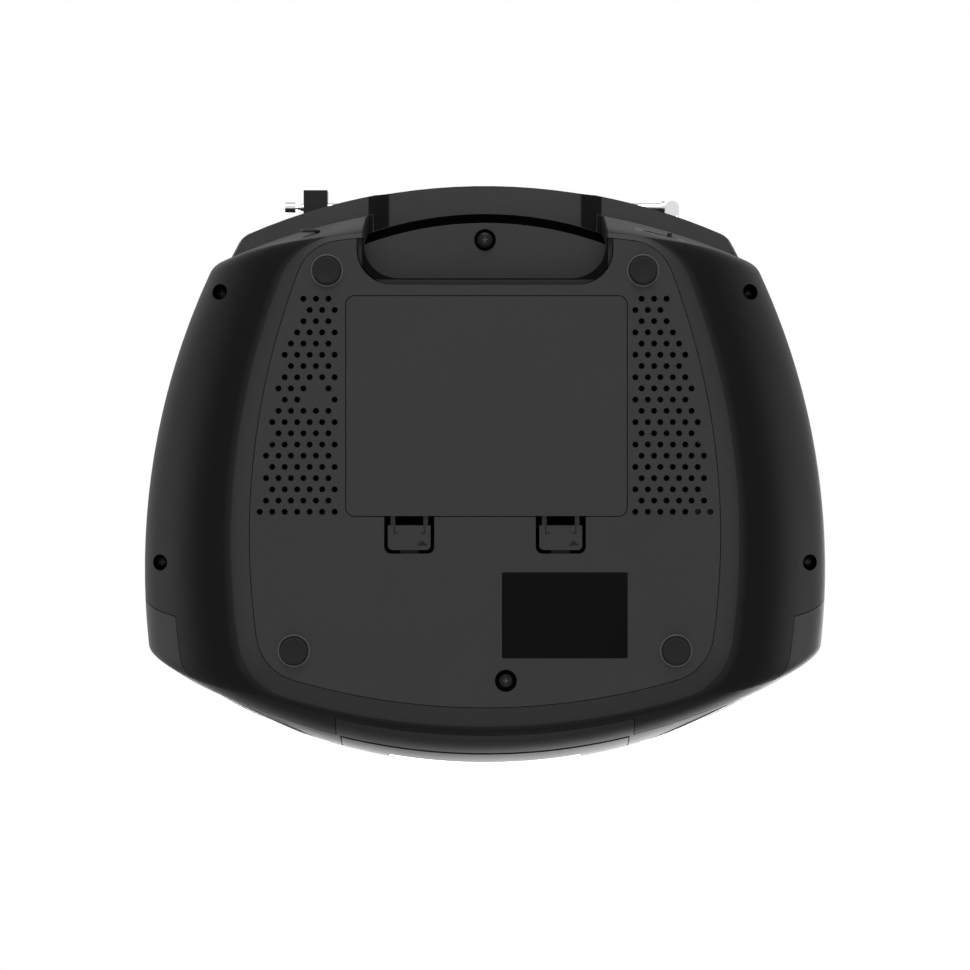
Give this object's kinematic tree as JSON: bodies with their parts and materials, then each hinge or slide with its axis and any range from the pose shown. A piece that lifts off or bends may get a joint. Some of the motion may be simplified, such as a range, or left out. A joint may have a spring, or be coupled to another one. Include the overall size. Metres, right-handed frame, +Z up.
{
  "type": "portable cd cassette radio",
  "caption": "Black portable stereo with a top-loading disc lid, a front cassette door, two round speakers, a rear carrying handle, a telescopic aerial and a battery door underneath.",
  "frame": {"origin": "on the table, under the middle of the cabinet", "axes": "+X to the right seen from the front, +Y to the rear, +Z up"},
  "size_m": [0.3, 0.2583, 0.138],
  "materials": {
    "cabinet_plastic": "satin black moulded plastic",
    "base_plastic": "fine-textured matte black plastic",
    "foot_rubber": "dull black rubber",
    "ring_plastic": "glossy black trim",
    "grille_metal": "perforated sheet, satin black paint",
    "driver_paper": "pressed paper cone on a steel basket",
    "smoked_window": "smoked clear plastic",
    "control_plastic": "silver-grey painted plastic",
    "aerial_chrome": "bright plated tube",
    "steel": "zinc-plated steel",
    "mechanism_plastic": "black acetal",
    "gear_plastic": "white acetal",
    "belt_rubber": "smooth rubber",
    "circuit_board": "green solder resist",
    "heat_sink_aluminium": "plain extruded aluminium"
  },
  "bodies": {
    "cabinet": {"ac_inlet": "mechanism_plastic", "base_plate": "base_plastic", "battery_case": "base_plastic", "battery_contacts": "steel", "cassette_chassis": "steel", "cassette_motor": "steel", "cd_chassis": "mechanism_plastic", "cd_well": "mechanism_plastic", "display_module": "circuit_board", "display_window": "smoked_window", "drive_belt": "belt_rubber", "feet": "foot_rubber", "front_cabinet": "cabinet_plastic", "headphone_socket": "mechanism_plastic", "heat_sink": "heat_sink_aluminium", "lower_cabinet": "cabinet_plastic", "main_board": "circuit_board", "screws": "steel", "sled_motor": "steel", "speaker_driver_left": "driver_paper", "speaker_driver_right": "driver_paper", "speaker_grille_left": "grille_metal", "speaker_grille_right": "grille_metal", "speaker_ring_left": "ring_plastic", "speaker_ring_right": "ring_plastic", "spindle_motor": "steel", "transformer": "steel", "upper_cabinet": "cabinet_plastic"},
    "battery_door": {"battery_door": "base_plastic"},
    "battery_latch_left": {"battery_latch_left": "base_plastic"},
    "battery_latch_right": {"battery_latch_right": "base_plastic"},
    "cd_lid": {"cd_lid": "cabinet_plastic", "lid_window": "smoked_window"},
    "turntable": {"turntable": "mechanism_plastic"},
    "optical_pickup": {"optical_pickup": "mechanism_plastic"},
    "sled_gear": {"sled_gear": "gear_plastic"},
    "supply_reel": {"supply_reel": "mechanism_plastic"},
    "takeup_reel": {"takeup_reel": "mechanism_plastic"},
    "capstan": {"capstan": "steel"},
    "pinch_roller": {"pinch_roller": "belt_rubber"},
    "head_carriage": {"head_carriage": "steel"},
    "cassette_door": {"cassette_door": "cabinet_plastic", "cassette_window": "smoked_window"},
    "pause_key": {"pause_key": "control_plastic"},
    "stop_key": {"stop_key": "control_plastic"},
    "fast_forward_key": {"fast_forward_key": "control_plastic"},
    "rewind_key": {"rewind_key": "control_plastic"},
    "play_key": {"play_key": "control_plastic"},
    "record_key": {"record_key": "control_plastic"},
    "volume_knob": {"volume_knob": "control_plastic"},
    "tuning_knob": {"tuning_knob": "control_plastic"},
    "disc_play_button": {"disc_play_button": "control_plastic"},
    "disc_stop_button": {"disc_stop_button": "control_plastic"},
    "lid_open_button": {"lid_open_button": "control_plastic"},
    "function_switch": {"function_switch": "control_plastic"},
    "aerial_swivel": {"aerial_swivel": "aerial_chrome"},
    "aerial_section_1": {"aerial_section_1": "aerial_chrome"},
    "aerial_section_2": {"aerial_section_2": "aerial_chrome"},
    "aerial_section_3": {"aerial_section_3": "aerial_chrome"},
    "aerial_section_4": {"aerial_section_4": "aerial_chrome"}
  },
  "joints": [
    {"name": "battery_door_hinge", "type": "hinge", "parent": "cabinet", "child": "battery_door", "pos_m": [-0.00065, 0.07425, 0.0025], "axis": [1, 0, 0], "range_deg": [0, 75]},
    {"name": "battery_latch_left_press", "type": "slide", "parent": "battery_door", "child": "battery_latch_left", "axis": [0, 1, 0], "range_m": [0, 0.002], "stiffness_N_per_m": 300},
    {"name": "battery_latch_right_press", "type": "slide", "parent": "battery_door", "child": "battery_latch_right", "axis": [0, 1, 0], "range_m": [0, 0.002], "stiffness_N_per_m": 300},
    {"name": "cd_lid_hinge", "type": "hinge", "parent": "cabinet", "child": "cd_lid", "pos_m": [0, 0.075, 0.1226], "axis": [-1, 0, 0], "range_deg": [0, 60]},
    {"name": "turntable_spin", "type": "hinge", "parent": "cabinet", "child": "turntable", "pos_m": [0, 0.006, 0.107], "axis": [0, 0, 1], "continuous": true},
    {"name": "pickup_travel", "type": "slide", "parent": "cabinet", "child": "optical_pickup", "axis": [0, -1, 0], "range_m": [0, 0.034]},
    {"name": "sled_gear_spin", "type": "hinge", "parent": "cabinet", "child": "sled_gear", "pos_m": [-0.03047, -0.026, 0.1], "axis": [0, 0, 1], "range_deg": [-296, 0]},
    {"name": "supply_reel_spin", "type": "hinge", "parent": "cabinet", "child": "supply_reel", "pos_m": [0.02125, -0.097, 0.051], "axis": [0, 1, 0], "continuous": true},
    {"name": "takeup_reel_spin", "type": "hinge", "parent": "cabinet", "child": "takeup_reel", "pos_m": [-0.02125, -0.097, 0.051], "axis": [0, 1, 0], "continuous": true},
    {"name": "capstan_spin", "type": "hinge", "parent": "cabinet", "child": "capstan", "pos_m": [-0.015, -0.097, 0.079], "axis": [0, 1, 0], "continuous": true},
    {"name": "pause_key_press", "type": "hinge", "parent": "cabinet", "child": "pause_key", "pos_m": [-0.04475, -0.0765, 0.1125], "axis": [1, 0, 0], "range_deg": [0, 8], "stiffness_Nm_per_rad": 0.4},
    {"name": "stop_key_press", "type": "hinge", "parent": "cabinet", "child": "stop_key", "pos_m": [-0.02685, -0.0765, 0.1125], "axis": [1, 0, 0], "range_deg": [0, 8], "stiffness_Nm_per_rad": 0.4},
    {"name": "fast_forward_key_press", "type": "hinge", "parent": "cabinet", "child": "fast_forward_key", "pos_m": [-0.00895, -0.0765, 0.1125], "axis": [1, 0, 0], "range_deg": [0, 8], "stiffness_Nm_per_rad": 0.4},
    {"name": "rewind_key_press", "type": "hinge", "parent": "cabinet", "child": "rewind_key", "pos_m": [0.00895, -0.0765, 0.1125], "axis": [1, 0, 0], "range_deg": [0, 8], "stiffness_Nm_per_rad": 0.4},
    {"name": "play_key_press", "type": "hinge", "parent": "cabinet", "child": "play_key", "pos_m": [0.02685, -0.0765, 0.1125], "axis": [1, 0, 0], "range_deg": [0, 8], "stiffness_Nm_per_rad": 0.4},
    {"name": "record_key_press", "type": "hinge", "parent": "cabinet", "child": "record_key", "pos_m": [0.04475, -0.0765, 0.1125], "axis": [1, 0, 0], "range_deg": [0, 8], "stiffness_Nm_per_rad": 0.4},
    {"name": "head_carriage_travel", "type": "slide", "parent": "cabinet", "child": "head_carriage", "axis": [0, 0, -1], "range_m": [0, 0.005]},
    {"name": "pinch_arm_swing", "type": "hinge", "parent": "cabinet", "child": "pinch_roller", "pos_m": [-0.038, -0.097, 0.093], "axis": [0, 1, 0], "range_deg": [0, 14.1]},
    {"name": "cassette_door_hinge", "type": "hinge", "parent": "cabinet", "child": "cassette_door", "pos_m": [0, -0.1148, 0.038], "axis": [1, 0, 0], "range_deg": [0, 28]},
    {"name": "volume_knob_turn", "type": "hinge", "parent": "cabinet", "child": "volume_knob", "pos_m": [-0.098, 0.015, 0.12], "axis": [0, 0, 1], "range_deg": [-150, 150]},
    {"name": "tuning_knob_turn", "type": "hinge", "parent": "cabinet", "child": "tuning_knob", "pos_m": [0.098, 0.015, 0.12], "axis": [0, 0, 1], "range_deg": [-170, 170]},
    {"name": "disc_play_button_press", "type": "slide", "parent": "cabinet", "child": "disc_play_button", "axis": [0, 0, -1], "range_m": [0, 0.0015], "stiffness_N_per_m": 300},
    {"name": "disc_stop_button_press", "type": "slide", "parent": "cabinet", "child": "disc_stop_button", "axis": [0, 0, -1], "range_m": [0, 0.0015], "stiffness_N_per_m": 300},
    {"name": "lid_open_button_press", "type": "slide", "parent": "cabinet", "child": "lid_open_button", "axis": [0, 0, -1], "range_m": [0, 0.0015], "stiffness_N_per_m": 300},
    {"name": "function_switch_slide", "type": "slide", "parent": "cabinet", "child": "function_switch", "axis": [0, 1, 0], "range_m": [-0.004, 0.004]},
    {"name": "aerial_swivel_turn", "type": "hinge", "parent": "cabinet", "child": "aerial_swivel", "pos_m": [-0.0855, 0.1205, 0.1296], "axis": [0, -1, 0], "range_deg": [0, 180]},
    {"name": "aerial_elbow_tilt", "type": "hinge", "parent": "aerial_swivel", "child": "aerial_section_1", "pos_m": [-0.0855, 0.1205, 0.1296], "axis": [0, 0, 1], "range_deg": [0, 90]},
    {"name": "aerial_section_2_slide", "type": "slide", "parent": "aerial_section_1", "child": "aerial_section_2", "axis": [1, 0, 0], "range_m": [0, 0.145]},
    {"name": "aerial_section_3_slide", "type": "slide", "parent": "aerial_section_2", "child": "aerial_section_3", "axis": [1, 0, 0], "range_m": [0, 0.145]},
    {"name": "aerial_section_4_slide", "type": "slide", "parent": "aerial_section_3", "child": "aerial_section_4", "axis": [1, 0, 0], "range_m": [0, 0.145]}
  ],
  "couplings": [
    {"joint": "sled_gear_spin", "follows": "pickup_travel", "rad_per_m": -151.04},
    {"joint": "head_carriage_travel", "follows": "play_key_press", "m_per_rad": 0.0357},
    {"joint": "pinch_arm_swing", "follows": "play_key_press", "ratio": 1.75}
  ]
}
